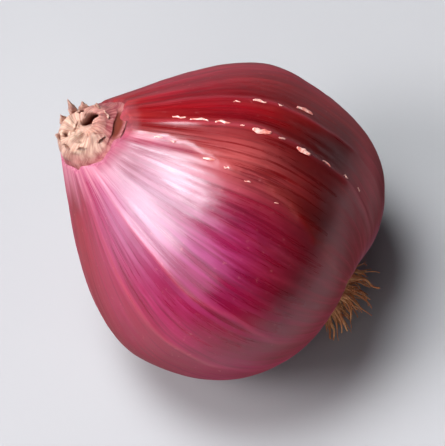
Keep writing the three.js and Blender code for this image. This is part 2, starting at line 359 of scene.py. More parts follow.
def outer_colour(tree, broad, fine, colour):
    """The outer skin over the inner one: rusty red, with a salmon painted highlight beside its torn edge."""
    rust = streaked(tree, broad, (0.35, 0.68), (100, 0, 2), (140, 8, 8))
    rust = streaked(tree, fine, (0.45, 0.72), rust, (164, 40, 32), 0.4)
    colour = layered(tree, colour, redness=rust)
    # Painted highlight: salmon streaks on the outer skin beside its torn edge
    salmon = calculated(tree, "MULTIPLY", stored(tree, "salmon"), ranged(tree, fine, 0.3, 0.56))
    return mixed(tree, salmon, colour, (172, 72, 72))


def marked_colour(tree, noises, colour):
    """Blotches, veins and specks, painted shade in the hollow, painted rim light at the root end, pale crests
    and dry flecks that are partly painted glints, and pale ends.
    """
    fine = noises["fine"]
    # Painted rim light: a lighter red on the limb of the root end
    root_red = streaked(tree, fine, (0.4, 0.66), (164, 2, 26), (194, 50, 66))
    colour = streaked(tree, noises["blotches"], (0.5, 0.75), colour, (78, 2, 14), 0.3)
    colour = streaked(tree, noises["veins"], (0.56, 0.68), colour, (66, 0, 10), 0.28)
    colour = streaked(tree, noises["specks"], (0.64, 0.76), colour, (206, 120, 120), 0.22)
    # The pale fleck colour is partly a painted glint
    fleck = streaked(tree, noises["specks"], (0.35, 0.65), (214, 118, 106), (244, 196, 184))
    pale = streaked(tree, fine, (0.38, 0.62), (160, 76, 106), (188, 124, 138))
    # The pale crest colour is partly a painted glint along the folds
    return layered(tree, colour, darkness=(64, 0, 0), rootness=root_red, crest=(198, 82, 98),
                   tear_edge=(190, 100, 84), fleck=fleck, paleness=pale)


def skin_roughness(tree, fine):
    """Shiny where it faces the eye, softer toward its limbs and where it dries at the neck."""
    roughness = ranged(tree, fine, 0.3, 0.7, 0.23, 0.38)
    grazing = add_node(tree, "ShaderNodeLayerWeight", {"Blend": 0.5}).outputs["Facing"]
    roughness = calculated(tree, "ADD", roughness, ranged(tree, grazing, 0.3, 0.9, 0.0, 0.7))
    dry = calculated(tree, "MULTIPLY", stored(tree, "neck_end"), 0.4)
    return calculated(tree, "ADD", roughness, dry)


def skin_material():
    """Thin shiny skin: magenta below, redder where the outer skin lies on it, pale at the neck."""
    material, tree, shader = new_material("shallot_skin")
    noises = skin_noises(tree)
    broad, fine = noises["broad"], noises["fine"]
    colour = flesh_colour(tree, broad, fine)
    colour = outer_colour(tree, broad, fine, colour)
    colour = marked_colour(tree, noises, colour)
    relief = calculated(tree, "ADD", fine, calculated(tree, "MULTIPLY", noises["specks"], 0.25))
    set_inputs(tree, shader, {
        "Base Color": colour,
        "Roughness": skin_roughness(tree, fine),
        "Normal": bumped(tree, relief, 0.18),
        "Specular IOR Level": 0.74,
        "Specular Tint": (0.98, 0.92, 1.0, 1),
        "Subsurface Weight": 0.04,
        "Subsurface Radius": (1.0, 0.3, 0.35),
        "Subsurface Scale": 0.002,
    })
    return material


def paper_material():
    """Withered scales: straw on top, pink toward the bulb and darker there as painted shade, and a dark brown
    painted shade in the cracks and holes.
    """
    material, tree, shader = new_material("dry_scales")
    streaks = noise(tree, stored(tree, "grain", "Vector"), 1.3, 5.0, 0.6)
    blotches = noise(tree, object_place(tree), 420, 4.0, 0.6)
    straw = streaked(tree, streaks, (0.36, 0.6), (158, 118, 104), (194, 162, 144))
    straw = streaked(tree, blotches, (0.5, 0.7), straw, (146, 92, 72), 0.4)
    blush = streaked(tree, streaks, (0.38, 0.6), (132, 58, 64), (160, 98, 96))
    colour = layered(tree, straw, pinkness=blush, depth=(96, 34, 20))
    set_inputs(tree, shader, {
        "Base Color": colour,
        "Roughness": ranged(tree, blotches, 0.3, 0.7, 0.5, 0.8),
        "Normal": bumped(tree, streaks, 0.45),
        "Specular IOR Level": 0.25,
        "Subsurface Weight": 0.15,
        "Subsurface Radius": (1.0, 0.6, 0.35),
        "Subsurface Scale": 0.0008,
    })
    return material


def root_material():
    """Dry roots: tan to brown along their length."""
    material, tree, shader = new_material("dry_roots")
    blotches = noise(tree, object_place(tree), 900, 4.0, 0.6)
    tan = streaked(tree, blotches, (0.35, 0.65), (198, 126, 78), (244, 190, 134))
    colour = layered(tree, tan, tipness=(178, 100, 56))
    set_inputs(tree, shader, {
        "Base Color": colour,
        "Roughness": ranged(tree, blotches, 0.3, 0.7, 0.6, 0.9),
        "Normal": bumped(tree, blotches, 0.5),
    })
    return material


def floor_material():
    material, tree, shader = new_material("pale_floor")
    tone = noise(tree, object_place(tree), 30, 2.0, 0.55)
    colour = mixed(tree, tone, (158, 157, 160), (165, 164, 166))
    set_inputs(tree, shader, {"Base Color": colour, "Roughness": 0.6})
    return material


# The bulb's form

def lobe_distance(lobe, lift, side, station):
    """The distance from one lobe's surface, roughly: below 0 inside it."""
    share = np.clip((station - lobe["station"]) / (lobe["neck_station"] - lobe["station"]), 0, 1)
    bend = smoothstep(share, 0, 1)
    centre_side = mix(lobe["side"], NECK_SIDE, bend)
    centre_lift = mix(lobe["lift"], NECK_LIFT, bend)
    from_axis = np.hypot(side - centre_side, lift - centre_lift)
    front = from_axis - mix(lobe["neck_radius"], lobe["radius"], (1 - share ** 2) ** lobe["shoulder"])
    power = lobe["root_fullness"]
    along = (np.maximum(lobe["station"] - station, 0) / lobe["root_length"]) ** power
    rear = ((along + (from_axis / lobe["radius"]) ** power) ** (1 / power) - 1) * lobe["radius"]
    return np.where(station >= lobe["station"], front, rear)


def bulb_distance(points):
    """Below 0 inside the bulb: two lobes, with the skin stretched over the valley between them."""
    lift, side, station = points[..., 0], points[..., 1], points[..., 2]
    valley = smoothstep(station, *VALLEY_FROM) * (1 - smoothstep(station, *VALLEY_TO))
    width = mix(END_BLEND, VALLEY_BLEND, valley)
    first = lobe_distance(MAIN_LOBE, lift, side, station)
    second = lobe_distance(SECOND_LOBE, lift, side, station)
    share = np.clip(0.5 + (second - first) / (2 * width), 0, 1)
    return mix(second, first, share) - width * share * (1 - share)


def reach(start, direction):
    """How far the bulb's surface is from points inside it, along directions."""
    low = np.zeros(direction.shape[:-1])
    high = np.full(direction.shape[:-1], SEARCH_REACH)
    for _ in range(SEARCH_STEPS):
        middle = (low + high) / 2
        inside = bulb_distance(start + direction * middle[..., None]) < 0
        low, high = np.where(inside, middle, low), np.where(inside, high, middle)
    return low


def across(angle, tilt):
    """Directions across the axis at angles round it, with the section tilted toward the upper side."""
    turn, tilt = np.broadcast_arrays(np.radians(angle), tilt)
    lift = np.sin(turn)
    return np.stack([lift * np.cos(tilt), np.cos(turn), -lift * np.sin(tilt)], axis=-1)


# The skin's relief

STATION_SPAN = (-17.5, 21.5)
WANDER_SHARE = 0.004
FINE_VEIN_SHARE = 0.6
OUTER_STEP = 0.06
LIP_HEIGHT = 0.03
VEIN_HEIGHT = 0.022
SWELL_HEIGHT = 0.14
DIMPLE_HEIGHT = 0.018
PLEAT_HEIGHT = 0.17
PUCKER_HEIGHT = 0.16
PLEATS_FROM = (9, 17.5)
PUCKER_FROM = (11.5, 15)
BODY_TO = (17, 20)

# The outer skin runs from its end, under the second lobe, to its torn edge on the upper side
OUTER_END = -70
OUTER_MIDDLE = 15
OUTER_END_WIDTH = 0.5
TEAR_ANGLE = 93
TEAR_STATION = 17.5
TEAR_TURN_PER_MM = 1.0
TEAR_WIDTH = 0.7
LIP_REACH = 0.7
TEAR_EDGE_REACH = 0.4

# Folds that run along the skin: angle, height, half width and the share that stays along the fold
FOLDS = (
    (18, 0.12, 1.0, 0.6),
    (61, 0.18, 0.45, 0.5),
    (80, 0.26, 0.45, 0.8),
    (101, 0.05, 0.5, 0.4),
    (127, -0.1, 1.2, 0.8),
    (153, 0.06, 0.28, 0.6),
    (174, 0.06, 0.4, 0.5),
    (204, 0.12, 0.8, 0.6),
    (238, 0.14, 0.6, 0.6),
    (262, 0.1, 0.6, 0.6),
    (282, 0.14, 0.6, 0.6),
    (318, 0.14, 0.7, 0.6),
    (345, 0.12, 0.6, 0.6),
)
FOLD_BEND = 2.0
FOLD_SHIVER = 0.7
FOLD_DOTS = 0.3
FOLDS_FROM = (-15, -8)
FOLDS_TO = (13, 17.5)
SHARP_FOLD = 0.5
SHARP_CREST = 1.0
BLUNT_CREST = 0.25
CREST_WIDTH = 0.3


def along_share(station):
    return (station - STATION_SPAN[0]) / (STATION_SPAN[1] - STATION_SPAN[0])


def arc(degrees, radius):
    """The millimetres round the bulb that an angle spans."""
    return np.radians(degrees) * radius


def tear_distance(angle, station, radius):
    """Millimetres from the outer skin's ragged torn line: above 0 on the outer skin."""
    along = along_share(station)
    line = TEAR_ANGLE + TEAR_TURN_PER_MM * (TEAR_STATION - station)
    ragged = 0.5 * line_noise(along, "tear_broad") + 0.3 * line_noise(along, "tear_fine")
    return arc(degrees_apart(line, angle), radius) + ragged + 0.2 * line_noise(along, "tear_finest")


def outer_skin_share(angle, station, radius):
    """1 on the outer skin and 0 beyond its torn edge and its end."""
    along = along_share(station)
    ragged = 0.7 * line_noise(along, "end_broad") + 0.3 * line_noise(along, "end_fine")
    from_end = arc(degrees_apart(angle, OUTER_END), radius) + ragged
    by_tear = smoothstep(tear_distance(angle, station, radius), 0, TEAR_WIDTH)
    by_end = smoothstep(from_end, 0, OUTER_END_WIDTH)
    return np.where(degrees_apart(angle, OUTER_MIDDLE) > 0, by_tear, by_end)


def fold_relief(angle, station, radius):
    """The height of the folds, and how near each place is to a fold's crest, from 0 to 1."""
    height = np.zeros_like(angle)
    crest = np.zeros_like(angle)
    along = along_share(station)
    fade = smoothstep(station, *FOLDS_FROM) * (1 - smoothstep(station, *FOLDS_TO))
    for index, (place, tall, half_width, steady) in enumerate(FOLDS):
        course = place + FOLD_BEND * line_noise(along, "fold_course", index)
        course += FOLD_SHIVER * line_noise(along, "fold_shiver", index)
        away = arc(np.abs(degrees_apart(angle, course)), radius)
        strength = mix(0.5 + 0.5 * line_noise(along, "fold_strength", index), 1.0, steady)
        dots = 1 + FOLD_DOTS * line_noise(along, "fold_dots", index)
        height += tall * strength * dots * fade / (1 + (away / half_width) ** 2)
        sharpness = SHARP_CREST if half_width < SHARP_FOLD else BLUNT_CREST
        crest = np.maximum(crest, sharpness * strength * fade * near(away, 0, CREST_WIDTH))
    return height, crest


def torn_edge(angle, station, radius, covered):
    """How far each place is on the torn edge's raised lip, and on its pale line."""
    along = along_share(station)
    away = np.abs(tear_distance(angle, station, radius))
    lip = covered * np.exp(-away / LIP_REACH) * (0.5 + 0.5 * line_noise(along, "lip"))
    edge = np.exp(-away / TEAR_EDGE_REACH) * smoothstep(line_noise(along, "tear_edge"), -0.3, 0.6)
    return lip, edge * (degrees_apart(angle, OUTER_MIDDLE) > 0)


def skin_relief(angle, station, radius):
    """The relief of the whole skin, with the masks that its colours need."""
    turn = angle / 360
    along = along_share(station)
    folds, crest = fold_relief(angle, station, radius)
    covered = outer_skin_share(angle, station, radius)
    lip, tear_edge = torn_edge(angle, station, radius, covered)
    wander = turn + WANDER_SHARE * lattice_noise(turn, along, "wander")
    veins = lattice_noise(wander, along, "veins")
    veins = veins + FINE_VEIN_SHARE * lattice_noise(wander, along, "fine_veins")
    pleats = lattice_noise(wander, along, "pleats") * smoothstep(station, *PLEATS_FROM)
    pucker = lattice_noise(wander, along, "pucker") * smoothstep(-station, *PUCKER_FROM)
    body = 1 - smoothstep(station, *BODY_TO)
    height = (
        folds
        + OUTER_STEP * covered
        + LIP_HEIGHT * lip
        + VEIN_HEIGHT * veins * body
        + SWELL_HEIGHT * lattice_noise(turn, along, "swell") * body
        + DIMPLE_HEIGHT * lattice_noise(turn, along, "dimples") * mix(0.6, 1.0, covered)
        + PLEAT_HEIGHT * pleats
        + PUCKER_HEIGHT * pucker
    )
    return height, dict(crest=crest, covered=covered, tear_edge=tear_edge)


# The skin's grid of points

COLUMNS = 512
FRONT_ROWS = 105
REAR_ROWS = 80
ROW_CROWDING = 0.9
TORN_END_SHARE = 0.014
TORN_END_RISE = (0.85, 1)
NECK_END_RISE = (0.95, 1.0)
LEAST_RADIUS = 0.5
NECK_BEND_TO = 20
SEAT_DEPTH = 1.3
SEAT_INNER = 0.6
SEAT_OUTER = 1.3


def seat_depth(points):
    """How deep the skin is drawn in round the basal disc."""
    away = np.hypot(points[..., 0] - DISC_PLACE[0], points[..., 1] - DISC_PLACE[1])
    behind = points[..., 2] < 0
    return SEAT_DEPTH * (1 - smoothstep(away, DISC_RADIUS - SEAT_INNER, DISC_RADIUS + SEAT_OUTER)) * behind


def front_rays(angle):
    """Starts and directions of the rays to the skin between neck and belly, and their rise."""
    rise = np.repeat((1 - np.arange(FRONT_ROWS)[:, None] / FRONT_ROWS) ** ROW_CROWDING, COLUMNS, axis=1)
    torn_end = TORN_END_SHARE * lattice_noise(angle / 360, 0 * angle, "torn_end")
    rise = rise + torn_end[None, :] * smoothstep(rise, *TORN_END_RISE)
    bend = smoothstep(rise, 0, 1)
    start = np.array(NECK_FOOT["place"]) * np.stack([bend, bend, rise], axis=-1)
    return start, across(angle[None, :], NECK_FOOT["tilt"] * rise ** 2), rise


def rear_rays(angle):
    """Starts and directions of the rays to the skin behind the belly."""
    drop = np.linspace(0, math.pi / 2, REAR_ROWS + 1)[:-1]
    direction = across(angle[None, :], 0 * drop[:, None]) * np.cos(drop)[:, None, None]
    direction[..., 2] = -np.sin(drop)[:, None]
    return np.zeros_like(direction), direction


def bulb_rows():
    """Rows of skin points from the neck to the root end, with what their colours need."""
    angle = np.arange(COLUMNS) * 360 / COLUMNS
    front, front_direction, rise = front_rays(angle)
    rear, rear_direction = rear_rays(angle)
    start = np.concatenate([front, rear])
    direction = np.concatenate([front_direction, rear_direction])
    smooth = start + direction * reach(start, direction)[..., None]
    station = smooth[..., 2]
    angle = np.repeat(angle[None, :], len(smooth), axis=0)
    axis_side = NECK_SIDE * smoothstep(station, 0, NECK_BEND_TO)
    radius = np.maximum(np.hypot(smooth[..., 0], smooth[..., 1] - axis_side), LEAST_RADIUS)
    height, masks = skin_relief(angle, station, radius)
    points = smooth + direction * height[..., None]
    points[..., 2] += seat_depth(points)
    neck_end = np.concatenate([smoothstep(rise, *NECK_END_RISE), np.zeros((REAR_ROWS, COLUMNS))])
    return points, dict(masks, angle=angle, station=station, neck_end=neck_end)


# The flecks' pale colour is partly a painted glint
# Dry flecks on folds, torn edge and underside: angle, station, length, width and one side's lift. The
# values below scale the last two
FLECKS = (
    (77.5, 13.2, 1.5, 0.26, 0.18),
    (79, 11.4, 2.0, 0.3, 0.2),
    (79.5, 9.2, 1.7, 0.3, 0.22),
    (80.5, 7.3, 0.5, 0.2, 0.15),
    (81, 5.2, 2.2, 0.75, 0.36),
    (81, 2.8, 0.8, 0.24, 0.2),
    (82, 0.1, 1.9, 0.62, 0.34),
    (80.5, -3.4, 1.1, 0.2, 0.2),
    (79, -6.2, 0.8, 0.16, 0.16),
    (77, -8.7, 0.6, 0.22, 0.16),
    (64, 8.2, 0.8, 0.16, 0.14),
    (62.5, 5.8, 1.6, 0.3, 0.22),
    (62, 3.4, 0.6, 0.16, 0.15),
    (58, 0.6, 2.1, 0.5, 0.3),
    (95, 14.3, 0.9, 0.26, 0.2),
    (96, 12.9, 0.6, 0.2, 0.2),
    (102, 9.4, 1.3, 0.32, 0.22),
    (104, 7.4, 0.7, 0.2, 0.2),
    (107, 5.0, 0.7, 0.16, 0.14),
    (110, 1.2, 0.5, 0.14, 0.12),
    (282, 9.0, 1.6, 0.3, 0.22),
    (284, 3.0, 1.2, 0.26, 0.2),
    (318, -2.0, 1.4, 0.3, 0.22),
    (239, 6.0, 1.2, 0.24, 0.2),
)
FLECK_RISE = 0.5
FLECK_SLIMNESS = 0.8
FLECK_THICKNESS = 0.03
FLECK_ROWS = 13
FLECK_COLUMNS = 5


def on_skin(points, row, column):
    """Points of the skin between its grid's rows and columns."""
    top, left = np.floor(row).astype(int), np.floor(column).astype(int)
    down, over = (row - top)[..., None], (column - left)[..., None]
    first, second = left % COLUMNS, (left + 1) % COLUMNS
    upper = mix(points[top, first], points[top, second], over)
    lower = mix(points[top + 1, first], points[top + 1, second], over)
    return mix(upper, lower, down)


def skin_normal(points, rows, columns, base):
    across_skin = on_skin(points, rows, columns + 1) - on_skin(points, rows, columns - 1)
    along_skin = on_skin(points, rows + 1, columns) - on_skin(points, rows - 1, columns)
    out = np.cross(along_skin, across_skin)
    out /= np.linalg.norm(out, axis=-1, keepdims=True)
    return out * np.sign((out * base).sum(axis=-1, keepdims=True))


def skin_fleck(points, station, fleck, index):
    """A thin fleck that clings to the skin by one long side: its outer and inner sides."""
    angle, place, length, width, lift = fleck
    column = angle / 360 * COLUMNS
    near_column = int(column)
    row = np.abs(station[:, near_column] - place).argmin()
    along_step = np.linalg.norm(points[row + 1, near_column] - points[row, near_column])
    side_step = np.linalg.norm(points[row, near_column + 1] - points[row, near_column])
    part = np.linspace(0, 1, FLECK_ROWS)[:, None]
    side = np.linspace(-1, 1, FLECK_COLUMNS)[None, :]
    ragged = 1 + 0.45 * line_noise(part, "fleck_side", index) * (side < 0)
    pointed = np.sin(math.pi * (0.04 + 0.92 * part)) ** 0.6
    half = FLECK_SLIMNESS * width / 2 * pointed * ragged
    bend = 0.12 * line_noise(part, "fleck_bend", index)
    rows = row + (part - 0.5) * length / along_step + 0 * side
    columns = column + (side * half + bend) / side_step
    base = on_skin(points, rows, columns)
    out = skin_normal(points, rows, columns, base)
    uneven = 0.7 + 0.3 * line_noise(part, "fleck_rise", index)
    stand = FLECK_THICKNESS + FLECK_RISE * lift * (0.5 - 0.5 * side) * uneven
    outside = base + out * stand[..., None]
    return outside, outside - out * FLECK_THICKNESS


def add_flecks(points, station, closed, faces):
    """The skin's points with the flecks' after them. Their faces are added to the skin's."""
    parts = [closed]
    offset = len(closed)
    for index, fleck in enumerate(FLECKS):
        sides = skin_fleck(points, station, fleck, index)
        parts += [lay_down(side).reshape(-1, 3) for side in sides]
        faces += thin_sheet_faces(FLECK_ROWS, FLECK_COLUMNS, offset)
        offset += 2 * FLECK_ROWS * FLECK_COLUMNS
    return np.concatenate(parts)


# Where the skin's colours lie

# Patches of colour: share and angle at the middle, the angle's drift for each millimetre of station, reach
# in degrees, and the middle's station and reach along the axis
# The violet, mauve and lilac patches are painted sheen round the highlight, and the salmon patch is a painted
# highlight beside the torn edge
PATCHES = dict(
    violet=(0.85, 137, 0.9, 24, 7.5, 7.5),
    mauve=(0.85, 132, 0, 36, 13, 4.5),
    lilac=(0.6, 157, 0, 13, 13.5, 4),
    salmon=(1.0, 98, 0, 13, 6, 6),
)
# Painted shade: a very dark red laid over the hollow between the lobes and over part of the belly
DARK_VALLEY = (0.95, 78, 1.6, 20, -5, 8)
DARK_BELLY = (0.8, 102, 0, 21, -5.5, 5.5)
# Pale fold crests, partly painted glints along the folds
CREST_PALENESS = 0.28
TEAR_EDGE_PALENESS = 0.15
GRAIN_ROUND = 10
GRAIN_PER_MM = 0.09


def patch(angle, station, share, middle, drift, reach_round, middle_station, reach_along):
    course = middle + drift * station
    return share * near(angle, course, reach_round) * near(station, middle_station, reach_along)


def dark_share(angle, station, tone):
    """Painted shade in the hollow between the lobes, whose course bends only behind the belly."""
    share, middle, drift, *reaches = DARK_VALLEY
    course = middle + drift * np.minimum(station, 0)
    valley = patch(angle, station, share, course, 0, *reaches)
    darkness = np.maximum(valley, patch(angle, station, *DARK_BELLY))
    return np.clip(darkness + 0.4 * tone * (darkness > 0.05), 0, 1)


def pale_share(angle, station, along, neck_end):
    """Pale skin at the neck, lowest on the main lobe's side, and round the roots."""
    turn = np.radians(angle)
    pale_from = mix(15.0, 18.5, np.clip(0.5 - 0.5 * np.cos(turn - math.radians(160)), 0, 1))
    ragged = 1.2 * lattice_noise(angle / 360, along, "paleness")
    paleness = 0.8 * smoothstep(station + ragged, pale_from, pale_from + 4)
    paleness = np.maximum(paleness, 0.6 * smoothstep(-station + 0.5 * ragged, 13.5, 15.8))
    return np.maximum(paleness, 0.75 * neck_end * near(degrees_apart(angle, 190), 0, 65))


def colour_shares(masks):
    """The share of each of the skin's colours at each of its points."""
    angle, station = masks["angle"], masks["station"]
    along = along_share(station)
    tone = 0.25 * lattice_noise(angle / 360, along, "tone")
    ripe_side = np.cos(np.radians(angle) - math.radians(85)) + 0.3 * tone
    ripeness = smoothstep(ripe_side, 0.4, 0.74) * (1 - 0.6 * smoothstep(station, 4, 13))
    darkness = dark_share(angle, station, tone)
    shares = {name: patch(angle, station, *values) for name, values in PATCHES.items()}
    shares.update(
        ripeness=ripeness,
        redness=np.clip(0.95 * masks["covered"] + tone, 0, 1),
        darkness=darkness,
        # Painted shade: a darker crimson along the left limb
        crimson=0.95 * near(angle, 203, 26) * smoothstep(station, -8, 0),
        # Painted rim light on the upper side of the root end
        rootness=0.8 * smoothstep(-station, 5, 11) * near(angle, 100, 75),
        paleness=pale_share(angle, station, along, masks["neck_end"]),
        crest=CREST_PALENESS * masks["crest"] * (1 - 0.8 * darkness),
        tear_edge=TEAR_EDGE_PALENESS * masks["tear_edge"],
        neck_end=masks["neck_end"],
        fleck=np.zeros_like(angle),
    )
    return shares


def skin_grain(masks):
    """Places on an even cylinder, which the streaks are drawn on."""
    turn = np.radians(masks["angle"])
    around = [GRAIN_ROUND * np.cos(turn), GRAIN_ROUND * np.sin(turn)]
    return np.stack([*around, GRAIN_PER_MM * masks["station"]], axis=-1)


def make_bulb(material):
    """The bulb's skin with its dry flecks. It is flat where it rests."""
    points, masks = bulb_rows()
    laid = lay_down(points)
    laid[..., 2] = np.maximum(laid[..., 2], 0)
    closed, faces = closed_tube(laid)
    everything = add_flecks(points, masks["station"], closed, faces)
    piece = make_object("bulb_skin", everything, faces, material, "bulb")
    flecks = everything[len(closed):]
    for name, share in colour_shares(masks).items():
        on_flecks = np.full(len(flecks), 1.0 if name == "fleck" else 0.0)
        store(piece, name, np.concatenate([end_values(share), on_flecks]))
    store(piece, "grain", np.concatenate([end_values(skin_grain(masks)), flecks / MM]))


# The neck's knob

# Holes between the folds of the neck's top: place toward the upper side and toward the second lobe, half
# length, half width, direction of the length in degrees from the second lobe, and depth
NECK_HOLES = (
    (0.32, 1.06, 0.95, 0.36, 40, 1.5),
    (-0.97, 2.0, 0.36, 0.26, 60, 1.0),
    (-1.83, -1.0, 0.32, 0.26, 0, 0.8),
    (2.1, -0.55, 0.75, 0.24, 95, 0.55),
    (0.2, -1.9, 0.5, 0.12, 70, 0.35),
    (-0.9, 0.2, 0.5, 0.1, 10, 0.35),
)
# Papery shreds on the neck's rim: angle, half width in degrees, height and outward lean
NECK_SHREDS = (
    (-44, 11, 1.3, 0.75),
    (-20, 14, 0.7, 0.35),
    (12, 12, 0.8, 0.3),
    (48, 16, 0.5, 0.3),
    (118, 14, 0.5, 0.3),
    (165, 15, 0.6, 0.3),
    (206, 11, 0.9, 0.4),
    (238, 15, 0.7, 0.4),
    (285, 13, 0.8, 0.3),
)
# The dark gap beside the knob, in degrees, shares of its height and millimetres
CREVICE = dict(angle=80, half_angle=26, share=0.3, half_share=0.2, depth=0.9)
NECK_COLUMNS = 300
WALL_ROWS = 44
WALL_FOOT = -0.14
RIM_ROWS = 12
TOP_ROWS = 56
RIM_ROUNDING = 1.5
TOP_MIDDLE = 0.05
LUMP_SPAN = 12
SHRED_ROWS = 12
SHRED_COLUMNS = 13
SHRED_THICKNESS = 0.09
SHRED_ROOT = 0.5
SHRED_SINK = 0.12
SHRED_DEPTH = 0.08
SHRED_PINKNESS = 0.3
SHRED_GRAIN = (2, 2, 0.6)


def neck_surface(angle, share, inset):
    """Places on the neck, or under its surface by the inset: share 0 is its foot and 1 its tip."""
    foot, tip = np.array(NECK_FOOT["place"]), np.array(NECK_TIP["place"])
    along = np.minimum(share, 1)
    onward = np.array([math.sin(NECK_TIP["tilt"]), 0, math.cos(NECK_TIP["tilt"])])
    onward = onward * np.linalg.norm(tip - foot)
    direction = across(angle, NECK_FOOT["tilt"])
    foot_radius = reach(np.broadcast_to(foot, direction.shape), direction)
    radius = mix(foot_radius, NECK_TIP["radius"], smoothstep(along, -0.4, 1)) - inset
    out = across(angle, mix(NECK_FOOT["tilt"], NECK_TIP["tilt"], along))
    centre = foot + (tip - foot) * along[..., None] + onward * (share - along)[..., None]
    return centre + out * radius[..., None]


def neck_grid():
    """Heights, angles and insets: up the neck's wall, over its rim and in to the middle of its top."""
    drop = RIM_ROUNDING / NECK_LENGTH
    wall = np.linspace(WALL_FOOT, 1 - drop, WALL_ROWS)
    turn = np.linspace(0, math.pi / 2, RIM_ROWS + 1)[1:]
    rim_inset = RIM_ROUNDING * (1 - np.cos(turn))
    top_inset = np.linspace(RIM_ROUNDING, NECK_TIP["radius"] - TOP_MIDDLE, TOP_ROWS + 1)[1:]
    share = np.concatenate([wall, 1 - drop + drop * np.sin(turn), np.ones(TOP_ROWS)])
    inset = np.concatenate([np.zeros(WALL_ROWS), rim_inset, top_inset])
    angle = np.arange(NECK_COLUMNS) * 360 / NECK_COLUMNS
    return np.meshgrid(share, angle, indexing="ij") + [np.repeat(inset[:, None], NECK_COLUMNS, axis=1)]


def neck_hole_depth(upper, second):
    """How deep the holes in the neck's top are, and how much painted shade darkens them, from 0 to 1."""
    depth = np.zeros_like(upper)
    dark = np.zeros_like(upper)
    for hole_upper, hole_second, half_length, half_width, direction, deep in NECK_HOLES:
        turn = math.radians(direction)
        along = (upper - hole_upper) * math.sin(turn) + (second - hole_second) * math.cos(turn)
        beside = (upper - hole_upper) * math.cos(turn) - (second - hole_second) * math.sin(turn)
        beside += 0.35 * half_width * np.sin(along * 4 / half_length)
        shape = np.exp(-((along / half_length) ** 2 + (beside / half_width) ** 2) ** 1.5)
        depth = np.maximum(depth, deep * shape)
        dark = np.maximum(dark, min(deep, 1.0) * smoothstep(shape, 0.15, 0.75))
    return depth, dark


def neck_pleats(share, angle, middle_share):
    """The knob's twisted pleats, and the twisted turn that they follow."""
    twist = angle / 360 + 0.09 * middle_share + 0.012 * lattice_noise(angle / 360, share, "knob_twist")
    fine = lattice_noise(twist, 0.5 * share, "knob_fine_pleats")
    return lattice_noise(twist, 0.3 * share, "knob_pleats") + 0.5 * fine, twist


def crevice_share(share, angle, on_top):
    away = (degrees_apart(angle, CREVICE["angle"]) / CREVICE["half_angle"]) ** 2
    along = ((share - CREVICE["share"]) / CREVICE["half_share"]) ** 2
    return np.exp(-along - away) * (1 - on_top)


def neck_top_rise(upper, second, pleats, middle_share, hole_depth):
    places = upper / LUMP_SPAN + 0.5, second / LUMP_SPAN + 0.5
    fade_in = smoothstep(1 - middle_share, 0, 0.3)
    rise = 0.24 * pleats * fade_in - 0.55 * smoothstep(middle_share, 0.2, 0.8) - hole_depth
    return rise + 0.5 * lattice_noise(*places, "knob_lumps") + 0.2 * lattice_noise(*places, "knob_crumple")


def neck_bulge(share, pleats, dents, crevice, on_top):
    bulge = 0.07 * pleats + 0.3 * dents * smoothstep(share, 0.1, 0.6) - CREVICE["depth"] * crevice
    return (1 - on_top) * bulge - 0.05 * (1 - smoothstep(share, 0, 0.16))


def knob_surface():
    """The knob's points in rows, with the grain and the shares of pink and of painted shade that its colours
    need.
    """
    share, angle, inset = neck_grid()
    turn = np.radians(angle)
    from_middle = NECK_TIP["radius"] - inset
    upper, second = from_middle * np.sin(turn), from_middle * np.cos(turn)
    on_top = smoothstep(inset, 0.1, 1.2)
    middle_share = 1 - np.clip(from_middle / NECK_TIP["radius"], 0, 1)
    hole_depth, hole_dark = neck_hole_depth(upper, second)
    pleats, twist = neck_pleats(share, angle, middle_share)
    dents = lattice_noise(angle / 360, share, "knob_dents")
    crevice = crevice_share(share, angle, on_top)
    rise = on_top * neck_top_rise(upper, second, pleats, middle_share, hole_depth)
    bulge = neck_bulge(share, pleats, dents, crevice, on_top)
    points = neck_surface(angle, share + rise / NECK_LENGTH, inset - bulge)
    # Painted shade: dark brown in the creases, the holes and the gap beside the knob
    creases = smoothstep(-pleats, 0.25, 1.0) * (0.1 + 0.45 * on_top)
    depth = np.clip(np.maximum(hole_dark, creases) + smoothstep(crevice, 0.15, 0.6), 0, 1)
    # Pink toward the foot, and a darker pink on the side toward the bulb as painted shade
    toward_bulb = smoothstep(upper + second, -1.5, 4.5)
    pinkness = np.clip(1 - smoothstep(share + 0.2 * dents, 0.15, 0.95) + 0.8 * toward_bulb, 0, 1)
    twist = twist * 2 * math.pi
    grain = np.stack([8 * np.cos(twist), 8 * np.sin(twist), 1.2 * share], axis=-1)
    return points, dict(depth=depth, pinkness=pinkness, grain=grain)


def neck_shred(angle, half_angle, height, lean, index):
    """A thin pointed shred that stands on the neck's rim: its outer and inner sides."""
    across_share = np.linspace(-1, 1, SHRED_COLUMNS)
    climb = np.linspace(0, 1, SHRED_ROWS)[:, None]
    uneven = 1 + 0.35 * line_noise((across_share + 1) / 2, "shred_tip", index)
    tip = np.clip(1 - np.abs(across_share - 0.25) ** 1.1, 0.05, 1) * uneven
    tall = climb * (SHRED_ROOT + height * tip[None, :]) - SHRED_ROOT
    narrow = 1 - 0.35 * climb ** 2
    angles = angle + half_angle * across_share[None, :] * narrow
    waves = 0.1 * lattice_noise(angles / 360, climb * np.ones_like(angles), "shred_waves", index)
    inset = 0.4 - lean * climb ** 2 + waves
    share = 1 + tall / NECK_LENGTH - SHRED_SINK
    return neck_surface(angles, share, inset), neck_surface(angles, share, inset + SHRED_THICKNESS)


